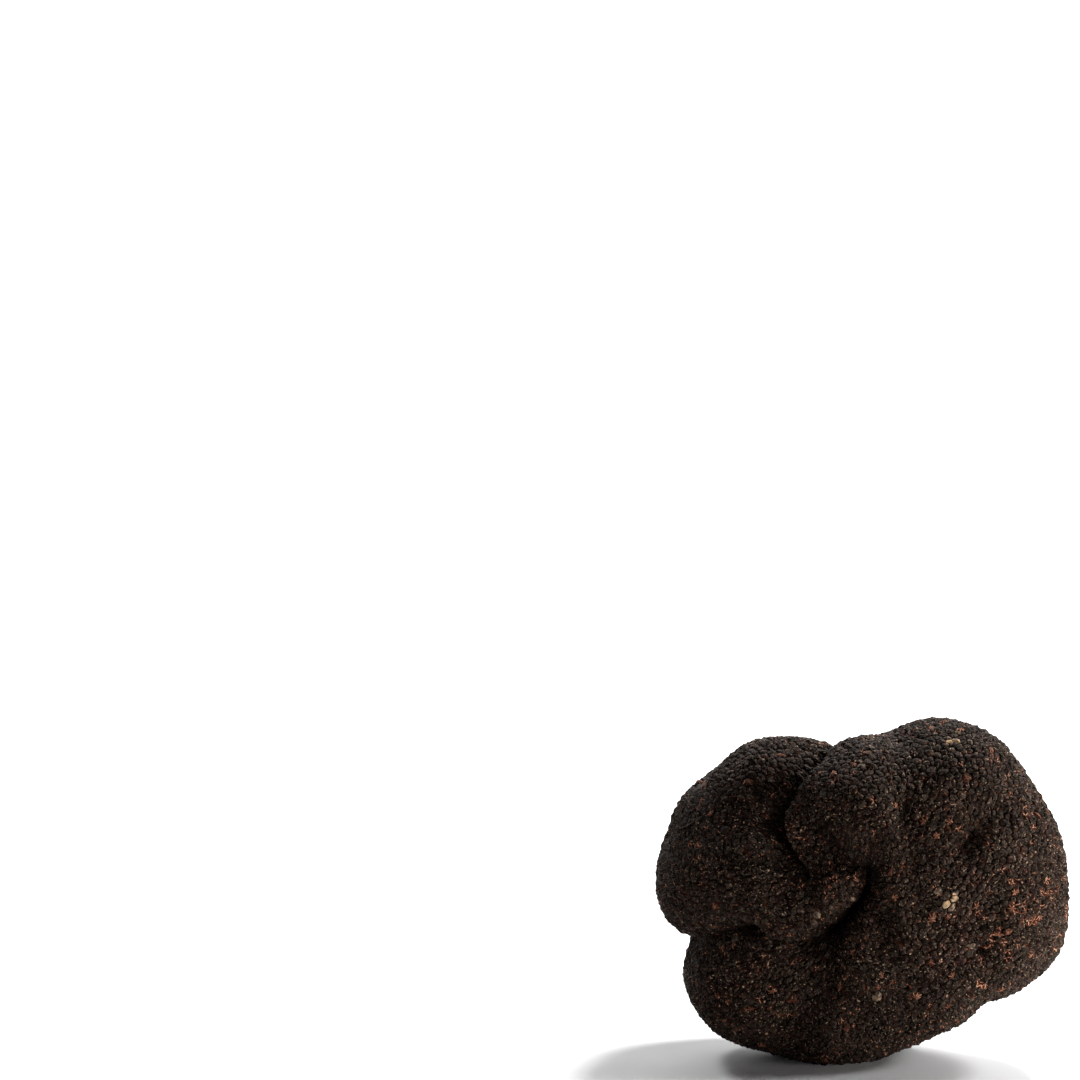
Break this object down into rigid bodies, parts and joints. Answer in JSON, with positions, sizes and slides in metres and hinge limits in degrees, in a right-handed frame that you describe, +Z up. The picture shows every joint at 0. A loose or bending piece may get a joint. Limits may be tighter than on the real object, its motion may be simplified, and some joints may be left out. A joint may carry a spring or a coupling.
{
  "type": "black truffle",
  "caption": "Whole black truffle: a lobed, wrinkled tuber with deep folds and a skin packed with low polygonal warts, resting on a small flat spot.",
  "frame": {"origin": "on the surface the truffle rests on, under the middle of its bounding box", "axes": "+X to the right of the face with the long fold, which looks towards -Y; +Z up; the truffle is longest along X and shortest along Y"},
  "size_m": [0.0666, 0.051, 0.0554],
  "materials": {
    "skin": "matt, dry, near-black brown skin of polygonal warts, with rust and cream rub marks"
  },
  "bodies": {
    "root": {"truffle": "skin"}
  },
  "joints": []
}
